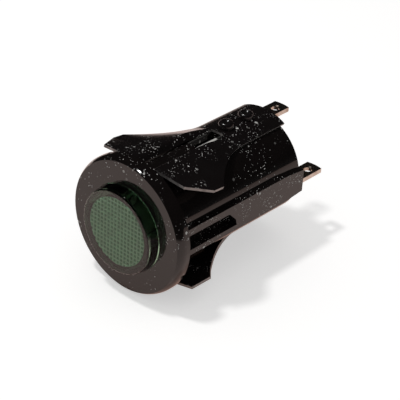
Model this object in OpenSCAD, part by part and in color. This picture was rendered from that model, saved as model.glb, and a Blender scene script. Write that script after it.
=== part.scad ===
// Panel pilot light with two spring clips and two solder terminals.
// The light's axis is Y. Its front faces -Y, and the panel's front face lies in the plane y = 0,
// which is also the rear face of the bezel. +Z is up, towards the upper clip.

/* [Bezel] */
// Outer diameter of the bezel
bezel_d = 24; // [23:0.5:28]
// Thickness of the bezel, from its front face to the panel
bezel_t = 2.6; // [2.2:0.1:3.2]
// Radius of the arc that leads from the front face out to the rim
rim_r = 2.6; // [2.6:0.1:4]
// Width of the straight part of the rim, next to the panel
rim_flat = 1; // [0.6:0.1:1.4]
// Radius of the small edge against the panel
back_edge_r = 0.2; // [0.1:0.05:0.4]

/* [Body] */
// Outer diameter of the tubular body
body_d = 18.2; // [17.8:0.1:19]
// Length of the body behind the panel
body_len = 29.9; // [29:0.1:34]
// Wall of the body around the lamp chamber
body_wall = 1.2; // [1:0.05:1.3]
// Size across the two side rails, which fits the panel's hole
rail_across = 20.1; // [19.8:0.1:21]
// Width of each side rail
rail_w = 5; // [4:0.1:6]
// How much each rail narrows at its rear end
rail_taper = 0.45; // [0:0.05:0.8]
// Length over which each rail narrows
rail_taper_len = 4.8; // [2:0.1:8]
// Length of the pocket in each rail
pocket_len = 13.1; // [10:0.1:16]
// Depth of the pocket in each rail
pocket_depth = 1.7; // [0.5:0.1:1.7]
// Height of the pocket's lower lip above the rail's lower edge
pocket_lip = 0.95; // [0.6:0.05:1.3]
// Height of the pocket
pocket_h = 2.8; // [2:0.1:3]

/* [Lens] */
// Diameter of the lens front face, and of its neck inside the bezel
lens_d = 14.7; // [14:0.1:15]
// Diameter of the lens where its cap meets the bezel
lens_base_d = 15.3; // [15.2:0.1:16.5]
// How far the lens stands out of the bezel
lens_stand = 2.15; // [1.5:0.05:4]
// Depth of the lens behind the panel's front face
lens_depth = 5.5; // [5:0.1:6.5]
// Wall of the lens
lens_wall = 1.35; // [1:0.05:1.6]
// Thickness of the lens front, down to the hatched surface
lens_front = 0.95; // [0.6:0.05:1.4]
// Rounding of the lens front edge
lens_edge_r = 0.35; // [0.1:0.05:0.5]
// Gap between the lens and the bezel
lens_gap = 0.1; // [0.05:0.01:0.15]
// Height of the snap bead around the lens
bead_h = 0.15; // [0.1:0.01:0.2]
// Distance between the hatch grooves
hatch_pitch = 0.75; // [0.6:0.05:1.2]
// Depth of the hatch grooves
hatch_depth = 0.3; // [0.1:0.05:0.4]
// Turn of the hatch about the light's axis
hatch_turn = 0; // [-90:1:90]

/* [Clips] */
// Thickness of the clip sheet
clip_t = 0.42; // [0.3:0.02:0.5]
// Half of the width of the clip plate that lies on the body
plate_half_w = 4.5; // [3.5:0.1:5.5]
// Distance of the upper clip's front edge behind the bezel
clip_front = 1.15; // [0.65:0.05:2.15]
// How far the clip's rear edge reaches past the body's rear end
clip_over = 0.7; // [-1:0.1:1]
// Rise of the arms above the plate
arm_rise = 1.05; // [0.8:0.05:1.2]
// Width of the opening between the two arms
arm_gap = 2.7; // [2:0.1:4]
// Height of the turned-in edge of each arm
arm_flange = 1.0; // [0.5:0.05:1.2]
// Width of the turned-in edge of each arm
arm_flange_w = 0.85; // [0.5:0.05:1.2]

/* [Rivets] */
// Diameter of the rivet heads
rivet_head_d = 2.7; // [2.2:0.1:3.2]
// Height of the rivet heads
rivet_head_h = 1.1; // [0.5:0.05:1.2]
// Diameter of the rivet shanks
rivet_d = 1.5; // [1.2:0.1:1.8]
// Distance between the two rivets of a clip
rivet_pitch = 4.9; // [4.2:0.1:5.2]
// Distance of the rear rivet from the body's rear end
rivet_rear = 4.3; // [4.2:0.1:5]

/* [Terminals] */
// Width of the terminal blades
blade_w = 3.1; // [2.4:0.1:3.2]
// Thickness of the terminal blades
blade_t = 0.8; // [0.5:0.05:0.8]
// Length of the blades behind the body
blade_len = 5.55; // [4:0.05:12]
// Diameter of the hole in each blade
blade_hole_d = 1.5; // [1:0.1:1.8]
// Distance of the hole from the blade's end
blade_hole_in = 2.0; // [1.6:0.1:3]
// How far the top blade's upper face lies below the top of the body
top_blade_inset = 0.5; // [0.45:0.05:0.8]
// How far the side blade's outer edge lies inside the rail's outer face
side_blade_inset = 0.3; // [0.3:0.05:0.85]

/* [Lamp] */
// Diameter of the lamp
lamp_d = 6; // [4:0.1:8]
// Length of the lamp
lamp_len = 16.5; // [14:0.5:17]
// Diameter of the lamp's wires
wire_d = 0.5; // [0.4:0.05:0.6]
// Diameter of the resistor
resistor_d = 2.3; // [1.6:0.1:2.6]
// Length of the resistor
resistor_len = 6; // [4:0.1:6]

/* [Hidden] */

// Clearances
slip = 0.05;
plate_gap = 0.03;
over = 1;
flare = 0.02;

// Body and bezel
bezel_r = bezel_d / 2;
body_r = body_d / 2;
chamber_r = body_r - body_wall;
rail_x = rail_across / 2;
lens_r = lens_d / 2;
bore_r = lens_r + lens_gap;
face_y = -bezel_t;
ring_t = 1.2;
ring_y = lens_depth + lens_gap;
ring_r = lens_r - 0.45;
carrier_front = ring_y + ring_t + lens_gap;
bead_y = lens_depth - 2;
bead_w = 0.8;

// Clips, measured on the upper one
plate_r = body_r + plate_gap + clip_t;
clip_rear_y = body_len + clip_over;
rivet_y = [body_len - rivet_rear - rivet_pitch, body_len - rivet_rear];
arm_root_y = rivet_y[0] - 2.1;

// Window under the clips, and the carrier's ribs that show in it
window_w = arm_gap;
window_y = [arm_root_y - 5.8, arm_root_y + 0.2];
rib_w = 0.9;
rib_r = chamber_r - slip;
key_top = chamber_r + 0.12;
key_y = [window_y[0] + 0.7, window_y[1] - slip];

// Rear plug, carrier, lamp and resistor
plug_t = 2.4;
plug_y = body_len - 0.5 - plug_t;
carrier_r = chamber_r - 1.3;
carrier_bore_r = carrier_r - 1;
carrier_to_plug = 5;
carrier_rear = plug_y - carrier_to_plug;
carrier_cup = 6.6;
carrier_wall = 1.5;
carrier_wall_y = [carrier_front + carrier_cup, carrier_front + carrier_cup + carrier_wall];
lamp_rear = carrier_wall_y[1] + 0.5;
lamp_r = lamp_d / 2;
wire_r = wire_d / 2;
wire_x = 1.1;
resistor_wire_r = 0.3;
resistor_x = wire_x + wire_r + resistor_wire_r + flare;
resistor_end = plug_y - 2;
resistor_y = resistor_end - resistor_len;

// Terminals
top_blade_z = body_r - top_blade_inset;
side_blade_x = rail_x - side_blade_inset;
leg_t = blade_t;
leg_y = plug_y + 0.4;
tail_w = 1.6;
top_tail_front = plug_y - 3.5;
side_tail_front = resistor_end + 0.4;
tail_drop = 2.4;
top_tail_z = top_blade_z - tail_drop;
side_tail_x = resistor_x + resistor_wire_r + flare;
live_start = [-wire_x, lamp_rear + 0.2, 0];
live_end = [-0.5, top_tail_front + 2.3, top_tail_z - blade_t - wire_r - slip];
blade_end = body_len + blade_len;
side_blade_z = -blade_t / 2;

$fn = 96;

// ---- helpers ----

// Turns what stands along Z so that it runs along +Y.
module along_y() {
    rotate([-90, 0, 0]) children();
}

// A box between two corners.
module block(low, high) {
    translate(low) cube(high - low);
}

// Both ends, up and down, of what is drawn on top.
module above_and_below() {
    children();
    mirror([0, 0, 1]) children();
}

// Lays what is drawn along +Z on the line from p to q.
module along_line(p, q) {
    run = q - p;
    translate(p) rotate([0, acos(run[2] / norm(run)), atan2(run[1], run[0])]) children();
}

module wire(p, q, r) {
    along_line(p, q) cylinder(r = r, h = norm(q - p), $fn = 24);
}

// ---- housing ----

// Section of the bezel, as radius and depth.
module bezel_section() {
    arc_x = bezel_r - rim_r;
    polygon([[0, face_y], [arc_x, face_y], [arc_x, 0], [0, 0]]);
    translate([arc_x, -rim_flat]) intersection() {
        circle(r = rim_r);
        translate([-flare, face_y + rim_flat]) square([rim_r + flare, bezel_t - rim_flat + flare]);
    }
    polygon([[arc_x - flare, -rim_flat], [bezel_r, -rim_flat], [bezel_r, -back_edge_r],
             [bezel_r - back_edge_r, 0], [arc_x - flare, 0]]);
}

// Outline of a rail from above, narrowing at its rear end.
module rail_side() {
    half = rail_w / 2;
    polygon([[-half, 0], [half, 0], [half, body_len - rail_taper_len],
             [half - rail_taper, body_len], [-half + rail_taper, body_len],
             [-half, body_len - rail_taper_len]]);
}

module rail() {
    translate([chamber_r + 0.4, 0, 0]) rotate([90, 0, 90])
        linear_extrude(rail_x - chamber_r - 0.4) rotate(-90) mirror([1, 0]) rail_side();
}

// Pocket in the rail's outer face, with one end cut at a slant.
module rail_pocket() {
    low = -rail_w / 2 + pocket_lip;
    high = low + pocket_h;
    slant = pocket_h * 0.6;
    translate([rail_x - pocket_depth, 0, 0]) rotate([90, 0, 90])
        linear_extrude(pocket_depth + over)
            polygon([[0, low], [pocket_len, low], [pocket_len - 0.3, high - slant],
                     [pocket_len - 0.3 - slant, high], [0, high]]);
}

module housing_outside() {
    along_y() rotate_extrude() bezel_section();
    along_y() cylinder(r = body_r, h = body_len);
    rail();
    mirror([1, 0, 0]) rail();
}

module housing_inside() {
    along_y() translate([0, 0, face_y - over]) cylinder(r = bore_r, h = ring_y - face_y + over);
    along_y() translate([0, 0, bead_y - slip])
        cylinder(r = lens_r + bead_h + slip, h = bead_w + 2 * slip);
    along_y() translate([0, 0, ring_y - over]) cylinder(r = ring_r, h = ring_t + 2 * over);
    along_y() translate([0, 0, ring_y + ring_t])
        cylinder(r = chamber_r, h = body_len - ring_y - ring_t + over);
}

module housing() {
    color([0.03, 0.027, 0.026]) difference() {
        housing_outside();
        housing_inside();
        rail_pocket();
        mirror([1, 0, 0]) rail_pocket();
        above_and_below() {
            block([-window_w / 2, window_y[0], chamber_r - over],
                  [window_w / 2, window_y[1], body_r + over]);
            for (y = rivet_y) {
                translate([0, y, 0]) cylinder(d = rivet_d + 2 * slip, h = body_r + over);
            }
        }
        block([-blade_w / 2 - slip, plug_y, 0], [blade_w / 2 + slip, body_len + over, top_blade_z + slip]);
        block([0, plug_y, side_blade_z - blade_t / 2 - slip],
              [side_blade_x + slip, body_len + over, side_blade_z + blade_t / 2 + slip]);
    }
}

// ---- lens ----

// Crossed V grooves cut into the inner side of the lens front.
module hatch(y, r) {
    count = floor(r / hatch_pitch);
    half = hatch_pitch / 2;
    for (turn = [0, 90], i = [-count : count]) {
        rotate([0, turn, 0]) translate([i * hatch_pitch, y, -r - over])
            linear_extrude(2 * (r + over))
                polygon([[-half, flare], [0, -hatch_depth], [half, flare]]);
    }
}

module lens() {
    front_y = face_y - lens_stand;
    inner_y = front_y + lens_front;
    color([0.16, 0.3, 0.2]) difference() {
        union() {
            along_y() translate([0, 0, front_y + lens_edge_r])
                cylinder(r = lens_r, h = lens_depth - front_y - lens_edge_r);
            along_y() translate([0, 0, front_y + lens_edge_r])
                cylinder(r1 = lens_r, r2 = lens_base_d / 2, h = lens_stand - lens_edge_r - flare);
            along_y() translate([0, 0, front_y]) cylinder(r = lens_r - lens_edge_r, h = lens_edge_r + flare);
            along_y() translate([0, 0, front_y + lens_edge_r])
                rotate_extrude() translate([lens_r - lens_edge_r, 0]) circle(r = lens_edge_r, $fn = 48);
            along_y() translate([0, 0, bead_y]) cylinder(r = lens_r + bead_h, h = bead_w);
        }
        along_y() translate([0, 0, inner_y])
            cylinder(r = lens_r - lens_wall, h = lens_depth - inner_y + over);
        intersection() {
            rotate([0, hatch_turn, 0]) hatch(inner_y, lens_r - lens_wall);
            along_y() translate([0, 0, inner_y - hatch_depth - over])
                cylinder(r = lens_r - lens_wall, h = hatch_depth + over + flare);
        }
    }
}

// ---- lamp and its holder ----

// Four ribs that centre the carrier in the chamber. The upper and the lower one have a key that
// stands in the window of the wall.
module carrier_ribs() {
    root = carrier_r - 0.3;
    for (side = [0, 1]) {
        mirror([side, 0, 0])
            block([root, carrier_front, -rib_w / 2], [rib_r, carrier_rear, rib_w / 2]);
    }
    above_and_below() {
        block([-rib_w / 2, carrier_front, root], [rib_w / 2, key_y[1], rib_r]);
        block([-rib_w / 2, key_y[0], root], [rib_w / 2, key_y[1], key_top]);
    }
}

module lamp_carrier() {
    color([0.86, 0.85, 0.82]) difference() {
        union() {
            along_y() translate([0, 0, carrier_front])
                cylinder(r = carrier_r, h = carrier_rear - carrier_front);
            carrier_ribs();
        }
        along_y() translate([0, 0, carrier_front - over])
            cylinder(r = carrier_bore_r, h = carrier_wall_y[0] - carrier_front + over);
        along_y() translate([0, 0, carrier_wall_y[1]])
            cylinder(r = carrier_bore_r, h = carrier_rear - carrier_wall_y[1] + over);
        along_y() translate([0, 0, carrier_front]) cylinder(r = lamp_r + slip, h = carrier_rear);
    }
}

module lamp() {
    tip_y = lamp_rear - lamp_len;
    color([0.85, 0.7, 0.55]) union() {
        along_y() translate([0, 0, tip_y + lamp_r]) cylinder(r = lamp_r, h = lamp_len - lamp_r);
        translate([0, tip_y + lamp_r, 0]) sphere(r = lamp_r);
    }
}

// The wire from the lamp to the top terminal.
module lamp_wire_live() {
    color("silver") wire(live_start, live_end, wire_r);
}

// The wire from the lamp to the resistor.
module lamp_wire_neutral() {
    reach = 0.9 * (resistor_y - lamp_rear);
    color("silver") wire([wire_x, lamp_rear, 0], [wire_x, lamp_rear + reach, 0], wire_r);
}

module wire_sleeve() {
    length = norm(live_end - live_start) * 0.4;
    color([0.8, 0.75, 0.55]) along_line(live_start, live_end) translate([0, 0, length / 4])
        difference() {
            cylinder(r = wire_r + 0.3, h = length, $fn = 32);
            translate([0, 0, -over]) cylinder(r = wire_r + slip, h = length + 2 * over, $fn = 32);
        }
}

module resistor() {
    color([0.72, 0.6, 0.42]) translate([resistor_x, resistor_y, 0]) along_y()
        cylinder(d = resistor_d, h = resistor_len);
}

module resistor_wire_front() {
    front = lamp_rear + 0.4 * (resistor_y - lamp_rear);
    color("silver") wire([resistor_x, front, 0], [resistor_x, resistor_y, 0], resistor_wire_r);
}

// The wire from the resistor, which runs straight along the edge of the side terminal's tail.
module resistor_wire_rear() {
    color("silver") wire([resistor_x, resistor_end, 0], [resistor_x, plug_y - 0.2, 0], resistor_wire_r);
}

module resistor_sleeve() {
    color([0.1, 0.1, 0.1]) translate([resistor_x, resistor_y - 0.1, 0]) along_y() difference() {
        cylinder(d = resistor_d + 0.5, h = resistor_len + 0.2);
        translate([0, 0, -over]) cylinder(d = resistor_d + slip, h = resistor_len + 0.2 + 2 * over);
    }
}

// ---- terminals and rear plug ----

// The end of a blade beyond the body, as an outline across X and Y, with a slightly bowed end.
module blade_outline(y0) {
    bow_r = 6;
    intersection() {
        translate([-blade_w / 2, y0]) square([blade_w, blade_end - y0]);
        translate([0, blade_end - bow_r]) circle(r = bow_r + 1e-4);
    }
    translate([-blade_w / 2, y0]) square([blade_w, blade_end - y0 - 0.4]);
}

// The hole and its bevelled upper edge, for a blade whose middle lies at z = 0.
module blade_hole() {
    bevel = 0.2;
    translate([0, blade_end - blade_hole_in, 0]) {
        cylinder(d = blade_hole_d, h = 2 * over, center = true);
        translate([0, 0, blade_t / 2 - bevel])
            cylinder(d1 = blade_hole_d, d2 = blade_hole_d + 4 * bevel, h = 2 * bevel);
    }
}

module terminal_top() {
    z = top_blade_z - blade_t;
    color([0.7, 0.68, 0.64]) difference() {
        union() {
            translate([0, 0, z]) linear_extrude(blade_t) blade_outline(leg_y);
            block([-tail_w / 2, leg_y, top_tail_z - blade_t], [tail_w / 2, leg_y + leg_t, z + flare]);
            block([-tail_w / 2, top_tail_front, top_tail_z - blade_t], [tail_w / 2, leg_y + leg_t, top_tail_z]);
        }
        translate([0, 0, z + blade_t / 2]) blade_hole();
    }
}

module terminal_side() {
    color([0.7, 0.68, 0.64]) difference() {
        union() {
            translate([side_blade_x - blade_w / 2, 0, side_blade_z - blade_t / 2])
                linear_extrude(blade_t) blade_outline(leg_y);
            block([side_tail_x, leg_y, side_blade_z - blade_t / 2],
                  [side_blade_x - flare, leg_y + leg_t, side_blade_z + blade_t / 2]);
            block([side_tail_x, side_tail_front, side_blade_z - blade_t / 2],
                  [side_tail_x + tail_w, leg_y + leg_t, side_blade_z + blade_t / 2]);
        }
        translate([side_blade_x - blade_w / 2, 0, side_blade_z]) blade_hole();
    }
}

// Posts that hold the carrier against its seat.
module plug_posts() {
    post_d = 1.6;
    post_r = (carrier_r + carrier_bore_r) / 2;
    for (turn = [45, 135, 225, 315]) {
        rotate([0, turn, 0]) translate([post_r, 0, 0]) along_y()
            translate([0, 0, carrier_rear + slip]) cylinder(d = post_d, h = plug_y - carrier_rear, $fn = 32);
    }
}

module base_plug() {
    low = side_blade_z - blade_t / 2 - slip;
    high = side_blade_z + blade_t / 2 + slip;
    pocket_y = leg_y + leg_t + slip;
    color([0.05, 0.045, 0.045]) difference() {
        union() {
            along_y() translate([0, 0, plug_y]) cylinder(r = chamber_r - slip, h = plug_t);
            plug_posts();
        }
        block([-tail_w / 2 - slip, plug_y - over, top_tail_z - blade_t - slip],
              [tail_w / 2 + slip, pocket_y, body_r]);
        block([-blade_w / 2 - slip, plug_y - over, top_blade_z - blade_t - slip],
              [blade_w / 2 + slip, body_len, body_r]);
        block([side_tail_x - slip, plug_y - over, low], [body_r, pocket_y, high]);
        block([side_blade_x - blade_w - slip, plug_y - over, low], [body_r, body_len, high]);
    }
}

// ---- rivets ----

// A hollow rivet through the clip and the wall, with a dimpled head.
module rivet() {
    head = plate_r + flare;
    inner_head = chamber_r - 0.1;
    round_r = rivet_head_h * 0.55;
    dimple_r = 1.1;
    difference() {
        union() {
            translate([0, 0, inner_head - 0.5]) cylinder(d = rivet_head_d - 0.4, h = 0.5);
            translate([0, 0, inner_head - 0.2]) cylinder(d = rivet_d, h = head - inner_head + 0.4);
            translate([0, 0, head]) cylinder(d = rivet_head_d, h = rivet_head_h - round_r);
            translate([0, 0, head]) cylinder(d = rivet_head_d - 2 * round_r, h = rivet_head_h);
            translate([0, 0, head + rivet_head_h - round_r])
                rotate_extrude() translate([rivet_head_d / 2 - round_r, 0]) circle(r = round_r, $fn = 48);
        }
        translate([0, 0, head + rivet_head_h + dimple_r - 0.45]) sphere(r = dimple_r);
        translate([0, 0, inner_head - 0.5 - over]) cylinder(d = rivet_d - 0.7, h = over + 0.9);
    }
}

module rivet_top_front() {
    color([0.05, 0.045, 0.04]) translate([0, rivet_y[0], 0]) rivet();
}

module rivet_top_rear() {
    color([0.05, 0.045, 0.04]) translate([0, rivet_y[1], 0]) rivet();
}

module rivet_bottom_front() {
    mirror([0, 0, 1]) rivet_top_front();
}

module rivet_bottom_rear() {
    mirror([0, 0, 1]) rivet_top_rear();
}

// ---- clips ----

// A clip is one sheet. Its plate follows the body, and its two arms rise from the plate and
// spread into wings. The sheet is worked out on a grid: a station is a place along Y, and a
// column runs from the left edge over the middle to the right edge.

// Smooth step from 0 at a to 1 at b.
function ease(y, a, b) = let (t = max(0, min(1, (y - a) / (b - a)))) t * t * (3 - 2 * t);

// Point on the straight line through p and q at the given y, as [x, z].
function on_line(y, p, q) = let (t = (y - p[1]) / (q[1] - p[1]), r = p + t * (q - p)) [r[0], r[2]];

plate_edge_z = sqrt(plate_r * plate_r - plate_half_w * plate_half_w);
arm_end_y = arm_root_y + 1;
wing_columns = 8;
last = wing_columns + 2;

// Front corner, tip and rear corner of the wings of the upper and the lower clip. They reach out
// past the rails, so that they catch behind the panel.
top_wing = [[rail_x - 1.25, clip_front, body_r + 0.95],
            [rail_x + 1.15, clip_front + 4.45, body_r - 0.5],
            [rail_x + 1.1, clip_front + 6.7, body_r - 0.73]];
bottom_wing = [[rail_x + 0.95, clip_front + 0.75, body_r - 0.6],
               [rail_x + 1.1, clip_front + 5.05, body_r - 0.7],
               [rail_x - 0.3, clip_front + 6.6, body_r - 0.7]];

// Outer edge of a wing at a station, as [x, z]. Behind the rear corner the edge curves in to
// the plate along a power of the distance that is left.
function outer_edge(y, corners) =
    let (rear = corners[2], left = max(0, (arm_end_y - y) / (arm_end_y - rear[1])))
    y <= corners[1][1] ? on_line(y, corners[0], corners[1]) :
    y <= rear[1] ? on_line(y, corners[1], rear) :
    [plate_half_w + (rear[0] - plate_half_w) * pow(left, 1.65),
     plate_edge_z + (rear[2] - plate_edge_z) * left];

// Point of the sheet's outer surface at a station and a column: column 0 is the middle, 1 the
// inner edge of an arm, 2 its ridge, and the rest run from the ridge to the outer edge.
function sheet_point(y, j, corners, rise) =
    let (column = abs(j),
         inner = arm_gap / 2,
         ridge = inner + arm_flange_w,
         edge = outer_edge(y, corners),
         t = max(0, (column - 2) / wing_columns),
         x = column == 0 ? 0 : column == 1 ? inner : ridge + t * (edge[0] - ridge),
         free = 1 - ease(y, arm_root_y - 6.1, arm_end_y),
         ridge_z = sqrt(plate_r * plate_r - ridge * ridge) + rise * free,
         bent = 1 - ease(y, arm_root_y - 2.1, arm_end_y),
         plate_z = sqrt(max(0, plate_r * plate_r - x * x)),
         arm_z = column < 2 ? plate_z * (1 - free) + (ridge_z - arm_flange) * free
                            : ridge_z + t * (edge[1] - ridge_z))
    [sign(j) * x, y, column < 2 ? arm_z : plate_z * (1 - bent) + arm_z * bent];

// The same point on the sheet's inner surface, one sheet thickness along the normal.
function inner_point(y, j, corners, rise) =
    let (low = (j == 1 && y < arm_root_y) ? 1 : max(-last, j - 1),
         high = (j == -1 && y < arm_root_y) ? -1 : min(last, j + 1),
         run = sheet_point(y, high, corners, rise) - sheet_point(y, low, corners, rise),
         span = norm([run[0], run[2]]))
    sheet_point(y, j, corners, rise) + clip_t * [run[2], 0, -run[0]] / span;

// Evenly spaced stations from y0 up to, but not at, y1.
function steps(y0, y1, count) = [for (i = [0 : count - 1]) y0 + (y1 - y0) * i / count];

// The sheet as one solid: quads between stations and columns, on both faces, and walls where a
// neighbouring cell is missing.
module sheet(corners, rise) {
    stations = concat(steps(corners[0][1], corners[1][1], 5), steps(corners[1][1], corners[2][1], 3),
                      steps(corners[2][1], arm_root_y, 14), steps(arm_root_y, arm_end_y, 3),
                      steps(arm_end_y, clip_rear_y, 2), [clip_rear_y]);
    rows = len(stations);
    wide = 2 * last + 1;
    outer = [for (y = stations, j = [-last : last]) sheet_point(y, j, corners, rise)];
    inner = [for (y = stations, j = [-last : last]) inner_point(y, j, corners, rise)];
    shift = rows * wide;
    function solid_cell(i, j) = i >= 0 && i < rows - 1 && j >= 0 && j < wide - 1
        && !((j == last - 1 || j == last) && stations[i] < arm_root_y - 1e-6);
    function quad(a, b, c, d) = [[a, b, c], [a, c, d]];
    cells = [for (i = [0 : rows - 2], j = [0 : wide - 2]) if (solid_cell(i, j)) [i, j]];
    faces = [for (cell = cells)
        let (i = cell[0], j = cell[1],
             a = i * wide + j, b = a + 1, c = b + wide, d = a + wide)
        each concat(
            quad(a, d, c, b),
            quad(a + shift, b + shift, c + shift, d + shift),
            solid_cell(i - 1, j) ? [] : quad(a, b, b + shift, a + shift),
            solid_cell(i + 1, j) ? [] : quad(c, d, d + shift, c + shift),
            solid_cell(i, j - 1) ? [] : quad(d, a, a + shift, d + shift),
            solid_cell(i, j + 1) ? [] : quad(b, c, c + shift, b + shift))];
    polyhedron(points = concat(outer, inner), faces = faces, convexity = 6);
}

module clip(corners, rise) {
    difference() {
        sheet(corners, rise);
        for (y = rivet_y) {
            translate([0, y, body_r - over]) cylinder(d = rivet_d + 2 * slip, h = 3 * over);
        }
    }
}

module clip_top() {
    color([0.04, 0.036, 0.035]) clip(top_wing, arm_rise);
}

module clip_bottom() {
    color([0.04, 0.036, 0.035]) mirror([0, 0, 1]) clip(bottom_wing, arm_rise);
}

housing();
lens();
lamp_carrier();
lamp();
lamp_wire_live();
lamp_wire_neutral();
wire_sleeve();
resistor();
resistor_wire_front();
resistor_wire_rear();
resistor_sleeve();
terminal_top();
terminal_side();
base_plug();
clip_top();
clip_bottom();
rivet_top_front();
rivet_top_rear();
rivet_bottom_front();
rivet_bottom_rear();
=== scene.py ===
"""Panel pilot light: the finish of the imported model, its sheet clips, the stage and the camera."""

import math

import bpy
import numpy as np
from mathutils import Matrix, Vector


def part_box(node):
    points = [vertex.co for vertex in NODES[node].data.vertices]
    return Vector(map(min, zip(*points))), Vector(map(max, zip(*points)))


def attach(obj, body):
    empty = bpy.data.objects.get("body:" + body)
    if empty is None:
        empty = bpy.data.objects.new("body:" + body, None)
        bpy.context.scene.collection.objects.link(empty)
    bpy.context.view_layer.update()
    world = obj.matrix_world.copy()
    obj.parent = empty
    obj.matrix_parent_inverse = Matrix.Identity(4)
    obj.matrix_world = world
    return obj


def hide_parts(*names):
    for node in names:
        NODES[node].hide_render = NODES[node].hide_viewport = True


bl_info = {
    "name": "Panel Pilot Light",
    "version": (1, 0, 0),
    "blender": (4, 5, 0),
    "location": "3D View > Sidebar > Pilot Light",
    "description": "Builds and finishes a snap-in pilot light with clips and solder terminals",
    "category": "Object",
}

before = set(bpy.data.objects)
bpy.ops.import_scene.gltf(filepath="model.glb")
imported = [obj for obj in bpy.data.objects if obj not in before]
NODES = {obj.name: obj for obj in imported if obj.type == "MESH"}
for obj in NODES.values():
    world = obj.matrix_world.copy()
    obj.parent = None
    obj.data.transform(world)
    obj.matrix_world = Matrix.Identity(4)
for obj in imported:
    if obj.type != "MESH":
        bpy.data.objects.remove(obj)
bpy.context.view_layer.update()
MM = 0.001

# The light's own levels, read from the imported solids, in metres
FLOOR_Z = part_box("housing")[0].z
LENS_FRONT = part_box("lens")[0].y

# The hatch of the lens: its depth behind the lens front, the depths over which its painted shade goes
# from light grooves to dark ridges, and its radius
HATCH_DEPTH = (0.55 * MM, 0.98 * MM)
RIDGE_DEPTH = (0.66 * MM, 0.84 * MM)
HATCH_RADIUS = 6.05 * MM

# Each clip: its side, and the front corner, tip and rear corner of its wings, as x, y, z in mm
CLIPS = {
    "clip_top": (1.0, ((8.8, 1.15, 10.05), (11.2, 5.6, 8.6), (11.15, 7.85, 8.37))),
    "clip_bottom": (-1.0, ((11.0, 1.9, 8.5), (11.15, 6.2, 8.4), (9.75, 7.75, 8.4))),
}


# ---------------------------------------------------------------- sizes and colours


class PilotLightColours(bpy.types.PropertyGroup):
    """Colours of the light's finishes, as linear light."""

    housing: bpy.props.FloatVectorProperty(
        name="Housing plastic", description="Glossy moulded plastic of the bezel and the body",
        subtype="COLOR", size=3, default=(0.0062, 0.0048, 0.0046))
    lens: bpy.props.FloatVectorProperty(
        name="Lens plastic", description="Clear green plastic of the lens",
        subtype="COLOR", size=3, default=(0.42, 0.66, 0.48))
    # The lens hatch colour below is painted shade on the ridges of the hatch
    hatch: bpy.props.FloatVectorProperty(
        name="Lens hatch", description="Light caught by the hatch behind the lens front",
        subtype="COLOR", size=3, default=(0.17, 0.42, 0.28))
    # Painted highlight: the lighter lines along the bottoms of the hatch grooves
    groove_highlight: bpy.props.FloatVectorProperty(
        name="Lens grooves", description="Lighter lines along the grooves of the hatch",
        subtype="COLOR", size=3, default=(0.7, 1.0, 0.8))
    nylon: bpy.props.FloatVectorProperty(
        name="Carrier nylon", description="White plastic of the lamp carrier",
        subtype="COLOR", size=3, default=(0.78, 0.76, 0.72))
    tin: bpy.props.FloatVectorProperty(
        name="Tinned brass", description="Metal of the terminals and wires",
        subtype="COLOR", size=3, default=(0.62, 0.56, 0.5))
    steel: bpy.props.FloatVectorProperty(
        name="Clip finish", description="Black finish of the clip sheet and the rivets",
        subtype="COLOR", size=3, default=(0.007, 0.0055, 0.0055))
    cut_edge: bpy.props.FloatVectorProperty(
        name="Cut edge", description="Bright metal where the sheet was cut",
        subtype="COLOR", size=3, default=(0.34, 0.32, 0.31))
    dust: bpy.props.FloatVectorProperty(
        name="Dust", description="Pale specks that lie on the black surfaces",
        subtype="COLOR", size=3, default=(0.55, 0.54, 0.52))


class PilotLightSizes(bpy.types.PropertyGroup):
    """Sizes of the clips' sheet, which the scene makes anew on a fine grid."""

    sheet: bpy.props.FloatProperty(
        name="Clip sheet", description="Thickness of the clip sheet",
        unit="LENGTH", default=0.42 * MM, min=0.2 * MM, max=0.6 * MM)
    plate_half: bpy.props.FloatProperty(
        name="Plate half width", description="Half of the width of the clip plate",
        unit="LENGTH", default=4.5 * MM, min=3.5 * MM, max=5.5 * MM)
    plate_radius: bpy.props.FloatProperty(
        name="Plate radius", description="Outer radius of the clip plate, which follows the body",
        unit="LENGTH", default=9.55 * MM, min=9.3 * MM, max=10 * MM)
    arm_gap: bpy.props.FloatProperty(
        name="Arm gap", description="Width of the opening between the arms",
        unit="LENGTH", default=2.7 * MM, min=2 * MM, max=4 * MM)
    arm_rise: bpy.props.FloatProperty(
        name="Arm rise", description="Rise of the arms above the plate",
        unit="LENGTH", default=1.05 * MM, min=0.8 * MM, max=1.2 * MM)
    flange_drop: bpy.props.FloatProperty(
        name="Turned edge height", description="How far the turned-in edge of an arm drops",
        unit="LENGTH", default=1.0 * MM, min=0.5 * MM, max=1.2 * MM)
    flange_width: bpy.props.FloatProperty(
        name="Turned edge width", description="Width of the turned-in edge of an arm",
        unit="LENGTH", default=0.85 * MM, min=0.5 * MM, max=1.2 * MM)
    arm_root: bpy.props.FloatProperty(
        name="Arm root", description="Where the opening between the arms ends, behind the panel",
        unit="LENGTH", default=18.6 * MM)
    plate_rear: bpy.props.FloatProperty(
        name="Plate rear", description="Rear edge of the clip plate",
        unit="LENGTH", default=30.6 * MM)


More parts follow.
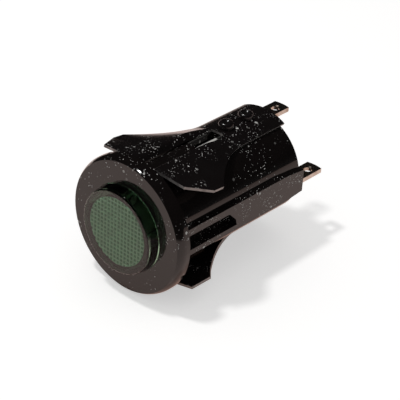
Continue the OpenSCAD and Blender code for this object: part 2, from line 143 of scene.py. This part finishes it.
class PilotLightStage(bpy.types.PropertyGroup):
    """Where the light is seen from, and how it is lit."""

    azimuth: bpy.props.FloatProperty(
        name="Azimuth", description="Direction of the camera round the light",
        subtype="ANGLE", default=math.radians(40.823))
    elevation: bpy.props.FloatProperty(
        name="Elevation", description="Height of the camera above the horizon",
        subtype="ANGLE", default=math.radians(31.904))
    roll: bpy.props.FloatProperty(
        name="Roll", description="Turn of the camera about its own line of sight",
        subtype="ANGLE", default=math.radians(3.474))
    lens: bpy.props.FloatProperty(
        name="Camera lens", description="Focal length on a 36 mm wide sensor", default=135.0)
    position: bpy.props.FloatVectorProperty(
        name="Camera position", description="Place of the camera",
        subtype="TRANSLATION", size=3, default=(0.13938, -0.1461, 0.13035))
    floor: bpy.props.FloatVectorProperty(
        name="Floor", description="Colour of the plain floor",
        subtype="COLOR", size=3, default=(0.8, 0.79, 0.78))
    warmth: bpy.props.FloatVectorProperty(
        name="Floor in gloss", description="Colour of the floor where glossy surfaces mirror it",
        subtype="COLOR", size=3, default=(1.0, 0.52, 0.38))
    glow: bpy.props.FloatProperty(
        name="Floor glow", description="How bright the floor is to the camera and in gloss",
        default=0.35)
    soft_level: bpy.props.FloatProperty(
        name="Soft light", description="Level of the soft light from all round", default=8.0)
    key_power: bpy.props.FloatProperty(
        name="Key lamp", description="Power of the small key lamp", subtype="POWER", default=0.7)


# ---------------------------------------------------------------- mesh helpers


def make_piece(name, points, faces, face_slots, materials, sharp_above=35.0):
    """A smooth mesh piece from whole arrays; edges that bend more than sharp_above stay sharp."""
    mesh = bpy.data.meshes.new(name)
    mesh.vertices.add(len(points))
    mesh.vertices.foreach_set("co", np.asarray(points, np.float32).ravel())
    mesh.loops.add(faces.size)
    mesh.loops.foreach_set("vertex_index", faces.astype(np.int32).ravel())
    mesh.polygons.add(len(faces))
    starts = np.arange(0, faces.size, faces.shape[1], dtype=np.int32)
    mesh.polygons.foreach_set("loop_start", starts)
    mesh.polygons.foreach_set("material_index", face_slots.astype(np.int32))
    mesh.update(calc_edges=True)
    mesh.validate()
    for material in materials:
        mesh.materials.append(material)
    mesh.polygons.foreach_set("use_smooth", np.ones(len(mesh.polygons), bool))
    mesh.set_sharp_from_angle(angle=math.radians(sharp_above))
    piece = bpy.data.objects.new(name, mesh)
    bpy.context.scene.collection.objects.link(piece)
    return piece


def sheet_faces(solid):
    """Quads of a closed sheet whose outer and inner points share one grid.

    solid says which cells of the grid exist. Each cell gives one quad outside and one inside,
    and each side of a cell with no neighbour gives one quad of the cut edge.
    """
    rows, columns = solid.shape
    wide = columns + 1
    shift = (rows + 1) * wide
    i, j = np.nonzero(solid)
    a = i * wide + j
    outside = np.stack([a, a + wide, a + wide + 1, a + 1], 1)
    inside = np.stack([a, a + 1, a + wide + 1, a + wide], 1) + shift
    ring = np.pad(solid, 1)
    edges = []
    sides = (((-1, 0), 0, 1), ((1, 0), wide + 1, wide), ((0, -1), wide, 0), ((0, 1), 1, wide + 1))
    for step, start, end in sides:
        bare = ~ring[i + 1 + step[0], j + 1 + step[1]]
        p, q = a[bare] + start, a[bare] + end
        edges.append(np.stack([p, q, q + shift, p + shift], 1))
    edges = np.concatenate(edges)
    faces = np.concatenate([outside, inside, edges])
    slots = np.concatenate([np.zeros(2 * len(a)), np.ones(len(edges))])
    return faces, slots


def drop_unused(points, faces):
    """The points that the faces use, and the faces numbered anew."""
    used, numbered = np.unique(faces, return_inverse=True)
    return points[used], numbered.reshape(faces.shape)


# ---------------------------------------------------------------- material helpers


class Finish:
    """A node material with short calls for the few kinds of node that the finishes use."""

    def __init__(self, name):
        self.material = bpy.data.materials.new(name)
        self.material.use_nodes = True
        self.nodes = self.material.node_tree.nodes
        self.links = self.material.node_tree.links
        self.shader = self.nodes["Principled BSDF"]
        self.place = self.nodes.new("ShaderNodeTexCoord").outputs["Object"]

    def put(self, socket, value):
        if isinstance(value, bpy.types.NodeSocket):
            self.links.new(value, socket)
        else:
            socket.default_value = value

    def set(self, **values):
        """Sets or links the shader's sockets that have a name of one word."""
        for name, value in values.items():
            label = name if name == "IOR" else name.capitalize()
            self.put(self.shader.inputs[label], value)
        return self

    def colour(self, value):
        self.put(self.shader.inputs["Base Color"], value)
        return self

    def math(self, kind, a, b=0.0, c=0.0, clamp=False):
        node = self.nodes.new("ShaderNodeMath")
        node.operation = kind
        node.use_clamp = clamp
        for socket, value in zip(node.inputs, (a, b, c)):
            self.put(socket, value)
        return node.outputs[0]

    def mix(self, factor, a, b):
        node = self.nodes.new("ShaderNodeMix")
        node.data_type = "RGBA"
        self.put(node.inputs[0], factor)
        self.put(node.inputs[6], a)
        self.put(node.inputs[7], b)
        return node.outputs[2]

    def noise(self, scale, detail=3.0, rough=0.5, place=None):
        node = self.nodes.new("ShaderNodeTexNoise")
        self.put(node.inputs["Vector"], place or self.place)
        self.put(node.inputs["Scale"], scale)
        self.put(node.inputs["Detail"], detail)
        self.put(node.inputs["Roughness"], rough)
        return node.outputs["Fac"]

    def step(self, value, low, high, to_low=0.0, to_high=1.0):
        """A smooth ramp of value from low to high."""
        node = self.nodes.new("ShaderNodeMapRange")
        node.interpolation_type = "SMOOTHSTEP"
        self.put(node.inputs["Value"], value)
        ends = {"From Min": low, "From Max": high, "To Min": to_low, "To Max": to_high}
        for name, number in ends.items():
            self.put(node.inputs[name], number)
        return node.outputs["Result"]

    def split(self, vector=None):
        node = self.nodes.new("ShaderNodeSeparateXYZ")
        self.put(node.inputs[0], vector or self.place)
        return node.outputs["X"], node.outputs["Y"], node.outputs["Z"]

    def bump(self, height, distance, strength=1.0):
        node = self.nodes.new("ShaderNodeBump")
        self.put(node.inputs["Height"], height)
        self.put(node.inputs["Distance"], distance)
        self.put(node.inputs["Strength"], strength)
        self.put(self.shader.inputs["Normal"], node.outputs["Normal"])
        return self

    def specks(self, scale, size, share):
        """1 on small round specks: cells of one scale, each kept by chance and of random size."""
        node = self.nodes.new("ShaderNodeTexVoronoi")
        self.put(node.inputs["Vector"], self.place)
        self.put(node.inputs["Scale"], scale)
        pick = self.nodes.new("ShaderNodeSeparateColor")
        self.put(pick.inputs[0], node.outputs["Color"])
        kept = self.math("LESS_THAN", pick.outputs[0], share)
        reach = self.math("MULTIPLY", pick.outputs[1], size)
        near = self.math("LESS_THAN", node.outputs["Distance"], reach)
        return self.math("MULTIPLY", kept, near)


def rgba(colour, share=1.0):
    """A colour times a share, with full alpha."""
    return (*(share * c for c in colour), 1.0)


def dusted_black(name, base, dust, roughness, share):
    """A black finish with pale specks of dust that gather in patches, and faint handling marks."""
    finish = Finish(name)
    specks = finish.specks(1500.0, 0.42, share)
    fine = finish.specks(4200.0, 0.42, share * 2.2)
    patches = finish.step(finish.noise(190.0, 4.0), 0.44, 0.58)
    both = finish.math("MAXIMUM", specks, fine)
    lying = finish.math("MULTIPLY", both, patches, clamp=True)
    mottle = finish.mix(finish.noise(420.0, 4.0), rgba(base, 0.75), rgba(base, 1.25))
    finish.colour(finish.mix(lying, mottle, rgba(dust)))
    marks = finish.math("MULTIPLY_ADD", finish.noise(260.0, 5.0, 0.6), roughness * 0.8, roughness * 0.6)
    finish.set(roughness=finish.math("MAXIMUM", marks, finish.math("MULTIPLY", lying, 0.7)))
    finish.bump(finish.noise(900.0, 3.0), 0.004 * MM, 0.4)
    return finish


def paint(node, material):
    """Puts one finish on a CAD node."""
    slots = NODES[node].data.materials
    slots.clear()
    slots.append(material)


# ---------------------------------------------------------------- operators


class PILOT_OT_stage(bpy.types.Operator):
    """Sets the camera, the plain floor, the lamps and the surroundings"""

    bl_idname = "pilot.stage"
    bl_label = "Stage and Camera"

    def execute(self, context):
        stage = context.scene.pilot_stage
        self.aim_camera(context.scene, stage)
        self.lay_floor(stage)
        self.light(stage)
        self.surround(context.scene, stage)
        context.scene.view_settings.view_transform = "Standard"
        return {"FINISHED"}

    def aim_camera(self, scene, stage):
        """The camera looks along its azimuth and elevation, then turns by its roll."""
        az, el, roll = stage.azimuth, stage.elevation, stage.roll
        ahead = Vector((-math.sin(az) * math.cos(el), math.cos(az) * math.cos(el), -math.sin(el)))
        right = Vector((math.cos(az), math.sin(az), 0.0))
        up = right.cross(ahead)
        turned_right = math.cos(roll) * right + math.sin(roll) * up
        turned_up = -math.sin(roll) * right + math.cos(roll) * up
        turn = Matrix((turned_right, turned_up, -ahead)).transposed().to_4x4()
        data = bpy.data.cameras.new("camera")
        data.lens = stage.lens
        data.sensor_width = 36.0
        data.clip_start, data.clip_end = 0.005, 20.0
        camera = bpy.data.objects.new("camera", data)
        camera.matrix_world = Matrix.Translation(Vector(stage.position)) @ turn
        scene.collection.objects.link(camera)
        scene.camera = camera

    def lay_floor(self, stage):
        """A wide flat floor just under the bezel's lowest point. Gloss sees it dark far to the
        left and to the right, as in a room with one bright table."""
        half = 3.0
        z = FLOOR_Z - 0.02 * MM
        points = np.array([(-half, -half, z), (half, -half, z), (half, half, z), (-half, half, z)])
        finish = Finish("floor_white")
        finish.set(roughness=0.9)
        path = finish.nodes.new("ShaderNodeLightPath")
        mirrored = finish.math("MAXIMUM", path.outputs["Is Glossy Ray"],
                               path.outputs["Is Transmission Ray"])
        direct = finish.math("MULTIPLY", path.outputs["Is Camera Ray"], 1.4)
        seen = finish.math("MAXIMUM", direct, mirrored)
        x, y, _ = finish.split()
        right = finish.step(x, 0.07, 0.12)
        before = finish.math("MULTIPLY_ADD", x, 0.6, finish.math("MULTIPLY", y, -1.0))
        front = finish.step(before, 0.0, 0.05)
        left = finish.step(x, -0.18, -0.1, 1.0, 0.0)
        sides = finish.math("MAXIMUM", finish.math("MULTIPLY", right, front), left)
        bare = finish.math("MULTIPLY", sides, mirrored)
        lit = finish.math("SUBTRACT", seen, finish.math("MULTIPLY", bare, 0.95))
        finish.colour(finish.mix(bare, rgba(stage.floor), (0.02, 0.02, 0.02, 1.0)))
        glow = finish.nodes.new("ShaderNodeEmission")
        tint = finish.mix(mirrored, (1.0, 1.0, 1.0, 1.0), rgba(stage.warmth))
        finish.put(glow.inputs["Color"], tint)
        finish.put(glow.inputs["Strength"], finish.math("MULTIPLY", lit, stage.glow))
        both = finish.nodes.new("ShaderNodeAddShader")
        finish.put(both.inputs[0], finish.shader.outputs[0])
        finish.put(both.inputs[1], glow.outputs[0])
        finish.put(finish.nodes["Material Output"].inputs["Surface"], both.outputs[0])
        corners = np.array([[0, 1, 2, 3]])
        floor = make_piece("floor", points, corners, np.zeros(1), [finish.material])

    def light(self, stage):
        """One small key lamp gives the sparks on rims; the surroundings give the soft light."""
        data = bpy.data.lights.new("key_lamp", "AREA")
        data.shape = "DISK"
        data.size = 0.05
        data.energy = stage.key_power
        lamp = bpy.data.objects.new("key_lamp", data)
        lamp.location = Vector((-0.12, -0.1, 0.42))
        lamp.rotation_mode = "QUATERNION"
        towards = Vector((0.0, 0.01, 0.0)) - lamp.location
        lamp.rotation_quaternion = towards.to_track_quat("-Z", "Y")
        bpy.context.scene.collection.objects.link(lamp)

    def surround(self, scene, stage):
        """White to the camera; soft light for matt surfaces; for gloss, white at the horizon
        behind on the right, and dark elsewhere and overhead."""
        world = bpy.data.worlds.new("surroundings")
        world.use_nodes = True
        tree = world.node_tree
        back = tree.nodes["Background"]
        way = tree.nodes.new("ShaderNodeTexCoord")
        split = tree.nodes.new("ShaderNodeSeparateXYZ")
        tree.links.new(way.outputs["Generated"], split.inputs[0])

        def ramp(value, low, high, to_low, to_high):
            """A smooth ramp of value from low to high, between two levels."""
            node = tree.nodes.new("ShaderNodeMapRange")
            node.interpolation_type = "SMOOTHSTEP"
            tree.links.new(value, node.inputs["Value"])
            for name, number in (("From Min", low), ("From Max", high)):
                node.inputs[name].default_value = number
            for name, number in (("To Min", to_low), ("To Max", to_high)):
                if isinstance(number, bpy.types.NodeSocket):
                    tree.links.new(number, node.inputs[name])
                else:
                    node.inputs[name].default_value = number
            return node.outputs["Result"]

        rear = ramp(split.outputs["Y"], 0.2, 0.6, 0.1, 0.9)
        behind = ramp(split.outputs["X"], -0.3, 0.3, 0.1, rear)
        dark = ramp(split.outputs["Z"], 0.0, 0.22, behind, 0.1)
        path = tree.nodes.new("ShaderNodeLightPath")
        glossy = tree.nodes.new("ShaderNodeMath")
        glossy.operation = "MAXIMUM"
        tree.links.new(path.outputs["Is Glossy Ray"], glossy.inputs[0])
        tree.links.new(path.outputs["Is Transmission Ray"], glossy.inputs[1])
        level = tree.nodes.new("ShaderNodeMix")
        level.inputs["A"].default_value = stage.soft_level
        tree.links.new(glossy.outputs[0], level.inputs["Factor"])
        tree.links.new(dark, level.inputs["B"])
        white = tree.nodes.new("ShaderNodeMix")
        white.inputs["B"].default_value = 1.0
        tree.links.new(path.outputs["Is Camera Ray"], white.inputs["Factor"])
        tree.links.new(level.outputs[0], white.inputs["A"])
        tree.links.new(white.outputs[0], back.inputs["Strength"])
        scene.world = world


class PILOT_OT_housing(bpy.types.Operator):
    """Gives the bezel, the body and the rear plug their glossy moulded plastic"""

    bl_idname = "pilot.housing"
    bl_label = "Housing"

    def execute(self, context):
        colours = context.scene.pilot_colours
        gloss = dusted_black("housing_plastic", colours.housing, colours.dust, 0.07, 0.10)
        gloss.set(IOR=1.5)
        paint("housing", gloss.material)
        matt = dusted_black("plug_plastic", colours.housing, colours.dust, 0.3, 0.05)
        paint("base_plug", matt.material)
        return {"FINISHED"}


class PILOT_OT_lens(bpy.types.Operator):
    """Gives the lens its clear green plastic, with painted light and shade on the hatch behind its
    front
    """

    bl_idname = "pilot.lens"
    bl_label = "Lens"

    def execute(self, context):
        colours = context.scene.pilot_colours
        finish = Finish("lens_plastic")
        x, y, z = finish.split()
        deep = finish.math("SUBTRACT", y, LENS_FRONT)
        squares = finish.math("ADD", finish.math("MULTIPLY", x, x), finish.math("MULTIPLY", z, z))
        radius = finish.math("SQRT", squares)
        inside = finish.math("MULTIPLY", finish.math("GREATER_THAN", deep, HATCH_DEPTH[0]),
                             finish.math("LESS_THAN", deep, HATCH_DEPTH[1]))
        hatch = finish.math("MULTIPLY", inside, finish.math("LESS_THAN", radius, HATCH_RADIUS))
        # Painted shade and highlight: by depth alone, the hatch goes from light at the groove bottoms
        # to dark on the ridges, as its facets would be lit
        ridge = finish.step(deep, *RIDGE_DEPTH)
        grooves = finish.mix(ridge, rgba(colours.groove_highlight), rgba(colours.hatch))
        finish.colour(finish.mix(hatch, rgba(colours.lens), grooves))
        finish.set(roughness=0.02, IOR=1.49)
        clear = finish.math("MULTIPLY_ADD", hatch, -0.75, 1.0)
        finish.put(finish.shader.inputs["Transmission Weight"], clear)
        paint("lens", finish.material)
        return {"FINISHED"}


class PILOT_OT_clips(bpy.types.Operator):
    """Makes the two spring clips, each bent from one sheet, with bright cut edges"""

    bl_idname = "pilot.clips"
    bl_label = "Spring Clips"

    def execute(self, context):
        colours = context.scene.pilot_colours
        sizes = context.scene.pilot_sizes
        black = dusted_black("clip_finish", colours.steel, colours.dust, 0.16, 0.16)
        black.set(IOR=1.5)
        edge = Finish("clip_cut_edge")
        grain = edge.noise(1400.0, 4.0, 0.6)
        edge.colour(edge.mix(edge.step(grain, 0.3, 0.7), rgba(colours.cut_edge, 0.55),
                             rgba(colours.cut_edge)))
        edge.set(metallic=0.6, roughness=0.38)
        for node, (side, corners) in CLIPS.items():
            points, faces, slots = self.sheet(sizes, MM * np.array(corners))
            if side < 0:
                points = points * (1.0, 1.0, -1.0)
                faces = faces[:, ::-1]
            materials = [black.material, edge.material]
            piece = make_piece(node + "_sheet", points, faces, slots, materials, 40.0)
            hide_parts(node)
            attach(piece, "root")
        return {"FINISHED"}

    def outer_edge(self, y, sizes, corners, end):
        """Outer edge of a wing: straight from the front corner to the tip and to the rear corner,
        then in to the plate along the power 1.65 of the distance that is left."""
        front, tip, rear = corners
        half = sizes.plate_half
        plate_z = math.sqrt(sizes.plate_radius ** 2 - half ** 2)
        left = np.clip((end - y) / (end - rear[1]), 0.0, 1.0)
        knots = (front[1], tip[1], rear[1])
        ahead = y <= rear[1]
        x = np.where(ahead, np.interp(y, knots, (front[0], tip[0], rear[0])),
                     half + (rear[0] - half) * left ** 1.65)
        z = np.where(ahead, np.interp(y, knots, (front[2], tip[2], rear[2])),
                     plate_z + (rear[2] - plate_z) * left)
        return x, z

    def half_section(self, y, sizes, corners, end):
        """Outer surface of one arm: rows run along the light, columns from the turned-in edge over
        the ridge to the outer edge. The ridge is rounded by a curve of the second degree, and
        towards the rear the section melts into the round plate."""
        def ease(low, high):
            t = np.clip((y - low) / (high - low), 0.0, 1.0)
            return t * t * (3.0 - 2.0 * t)

        radius = sizes.plate_radius
        inner = sizes.arm_gap / 2
        ridge = inner + sizes.flange_width
        free = (1.0 - ease(12.5 * MM, end))[:, None]
        bent = (1.0 - ease(16.5 * MM, end))[:, None]
        edge_x, edge_z = (v[:, None] for v in self.outer_edge(y, sizes, corners, end))
        ridge_z = math.sqrt(radius ** 2 - ridge ** 2) + sizes.arm_rise * free
        root_z = math.sqrt(radius ** 2 - inner ** 2)
        low_z = root_z * (1.0 - free) + (ridge_z - sizes.flange_drop) * free
        low = np.stack([np.full_like(free, inner), low_z], -1)
        top = np.stack([np.full_like(free, ridge), ridge_z], -1)
        out = np.stack([edge_x, edge_z], -1)
        turn = 0.3
        start = top + (low - top) * turn
        width = np.linalg.norm(out - top, axis=-1, keepdims=True)
        finish = top + (out - top) * (0.35 * MM / np.maximum(width, MM))
        t = np.linspace(0.0, 1.0, 4)[None, :-1, None]
        flange = low + (start - low) * t
        t = np.linspace(0.0, 1.0, 7)[None, :-1, None]
        bend = start * (1 - t) ** 2 + 2 * top * t * (1 - t) + finish * t ** 2
        t = np.linspace(0.0, 1.0, 25)[None, :, None]
        wing = finish + (out - finish) * t
        section = np.concatenate([flange, bend, wing], 1)
        x, z = section[..., 0], section[..., 1]
        plate_z = np.sqrt(np.maximum(radius ** 2 - x ** 2, 0.0))
        outer = np.arange(x.shape[1]) >= flange.shape[1] + 3
        z = np.where(outer[None, :], plate_z * (1.0 - bent) + z * bent, z)
        return x, z

    def sheet(self, sizes, corners):
        """One clip as a closed sheet: outer points from the section, inner points one thickness
        along the normal, which is the cross product of the two grid directions."""
        front, tip, rear = corners[:, 1]
        end = sizes.arm_root + 1.0 * MM
        y = np.unique(np.concatenate([
            np.linspace(front, tip, 13), np.linspace(tip, rear, 9),
            np.linspace(rear, sizes.arm_root, 49), np.linspace(sizes.arm_root, end, 9),
            np.linspace(end, sizes.plate_rear, 25)]).round(9))
        x, z = self.half_section(y, sizes, corners, end)
        root_z = math.sqrt(sizes.plate_radius ** 2 - (sizes.arm_gap / 2) ** 2)
        middle_x = np.linspace(-sizes.arm_gap / 2, sizes.arm_gap / 2, 7)[1:-1]
        over = np.sqrt(sizes.plate_radius ** 2 - middle_x ** 2) - root_z
        middle_z = z[:, :1] + over[None, :]
        grid_x = np.concatenate([-x[:, ::-1], np.broadcast_to(middle_x, middle_z.shape), x], 1)
        grid_z = np.concatenate([z[:, ::-1], middle_z, z], 1)
        grid_y = np.broadcast_to(y[:, None], grid_x.shape)
        outer = np.stack([grid_x, grid_y, grid_z], -1)
        half = x.shape[1]
        parts = [outer[:, :half], outer[:, half:-half], outer[:, -half:]]
        inner = np.concatenate([p - sizes.sheet * self.normals(p) for p in parts], 1)
        rows, columns = grid_x.shape
        solid = np.ones((rows - 1, columns - 1), bool)
        between = np.arange(columns - 1)
        between = (between >= half - 1) & (between < columns - half)
        solid[np.ix_(y[:-1] < sizes.arm_root - 1e-7, between)] = False
        points = np.concatenate([outer.reshape(-1, 3), inner.reshape(-1, 3)])
        faces, slots = sheet_faces(solid)
        points, faces = drop_unused(points, faces)
        return points, faces, slots

    def normals(self, grid):
        """Unit normals of a grid of points, pointing out of the light."""
        along = np.gradient(grid, axis=0)
        across = np.gradient(grid, axis=1)
        normal = np.cross(across, along)
        normal = normal / np.linalg.norm(normal, axis=-1, keepdims=True)
        return np.where(normal[..., 2:] < 0, -normal, normal)


class PILOT_OT_rivets(bpy.types.Operator):
    """Gives the four rivets their black finish"""

    bl_idname = "pilot.rivets"
    bl_label = "Rivets"

    def execute(self, context):
        colours = context.scene.pilot_colours
        finish = dusted_black("rivet_finish", colours.steel, colours.dust, 0.22, 0.03)
        finish.set(IOR=1.6)
        for node in ("rivet_top_front", "rivet_top_rear",
                     "rivet_bottom_front", "rivet_bottom_rear"):
            paint(node, finish.material)
        return {"FINISHED"}


class PILOT_OT_terminals(bpy.types.Operator):
    """Gives the two terminals and the wires their tinned metal"""

    bl_idname = "pilot.terminals"
    bl_label = "Terminals and Wires"

    def execute(self, context):
        colours = context.scene.pilot_colours
        finish = Finish("tinned_brass")
        stain = finish.step(finish.noise(500.0, 5.0, 0.65), 0.35, 0.7)
        red, green, blue = colours.tin
        aged = (0.6 * red, 0.5 * green, 0.42 * blue)
        finish.colour(finish.mix(stain, rgba(colours.tin), rgba(aged)))
        finish.set(metallic=1.0, roughness=finish.math("MULTIPLY_ADD", stain, 0.14, 0.16))
        finish.bump(finish.noise(1600.0, 3.0), 0.006 * MM, 0.5)
        for node in ("terminal_top", "terminal_side", "lamp_wire_live", "lamp_wire_neutral",
                     "resistor_wire_front", "resistor_wire_rear"):
            paint(node, finish.material)
        return {"FINISHED"}


class PILOT_OT_inside(bpy.types.Operator):
    """Gives the lamp carrier, the lamp, the resistor and the sleeves their finishes"""

    bl_idname = "pilot.inside"
    bl_label = "Carrier and Lamp"

    def execute(self, context):
        colours = context.scene.pilot_colours
        nylon = Finish("carrier_nylon")
        cloud = nylon.noise(300.0, 4.0)
        nylon.colour(nylon.mix(cloud, rgba(colours.nylon, 0.9), rgba(colours.nylon)))
        nylon.set(roughness=0.5)
        paint("lamp_carrier", nylon.material)
        glass = Finish("lamp_glass")
        glass.colour((0.9, 0.85, 0.78, 1.0)).set(roughness=0.03, IOR=1.5)
        glass.shader.inputs["Transmission Weight"].default_value = 0.6
        paint("lamp", glass.material)
        lacquer = Finish("resistor_lacquer")
        _, y, _ = lacquer.split()
        wave = lacquer.math("SINE", lacquer.math("MULTIPLY", y, 4200.0))
        band = lacquer.math("GREATER_THAN", wave, 0.55)
        lacquer.colour(lacquer.mix(band, (0.5, 0.38, 0.22, 1.0), (0.12, 0.04, 0.02, 1.0)))
        lacquer.set(roughness=0.4)
        paint("resistor", lacquer.material)
        sleeve = Finish("sleeve_plastic")
        weave = sleeve.noise(2400.0, 2.0)
        sleeve.colour(sleeve.mix(weave, (0.42, 0.38, 0.24, 1.0), (0.6, 0.55, 0.38, 1.0)))
        sleeve.set(roughness=0.7)
        paint("wire_sleeve", sleeve.material)
        paint("resistor_sleeve", sleeve.material)
        return {"FINISHED"}


class PILOT_PT_panel(bpy.types.Panel):
    """Lists the steps that build and finish the light"""

    bl_idname = "PILOT_PT_panel"
    bl_label = "Panel Pilot Light"
    bl_space_type = "VIEW_3D"
    bl_region_type = "UI"
    bl_category = "Pilot Light"

    def draw(self, context):
        for step in STEPS:
            self.layout.operator(step.bl_idname)
        for owner in GROUPS:
            group = getattr(context.scene, owner)
            box = self.layout.box()
            for name in group.bl_rna.properties.keys():
                if name not in ("rna_type", "name"):
                    box.prop(group, name)


STEPS = (PILOT_OT_stage, PILOT_OT_housing, PILOT_OT_lens, PILOT_OT_clips, PILOT_OT_rivets,
         PILOT_OT_terminals, PILOT_OT_inside)
GROUPS = {"pilot_colours": PilotLightColours, "pilot_sizes": PilotLightSizes,
          "pilot_stage": PilotLightStage}


def register():
    for name, group in GROUPS.items():
        bpy.utils.register_class(group)
        setattr(bpy.types.Scene, name, bpy.props.PointerProperty(type=group))
    for kind in (*STEPS, PILOT_PT_panel):
        bpy.utils.register_class(kind)


def unregister():
    for kind in reversed((*STEPS, PILOT_PT_panel)):
        bpy.utils.unregister_class(kind)
    for name, group in GROUPS.items():
        delattr(bpy.types.Scene, name)
        bpy.utils.unregister_class(group)


def main():
    register()
    bpy.ops.pilot.stage()
    bpy.ops.pilot.housing()
    bpy.ops.pilot.lens()
    bpy.ops.pilot.clips()
    bpy.ops.pilot.rivets()
    bpy.ops.pilot.terminals()
    bpy.ops.pilot.inside()


if __name__ == "__main__":
    main()
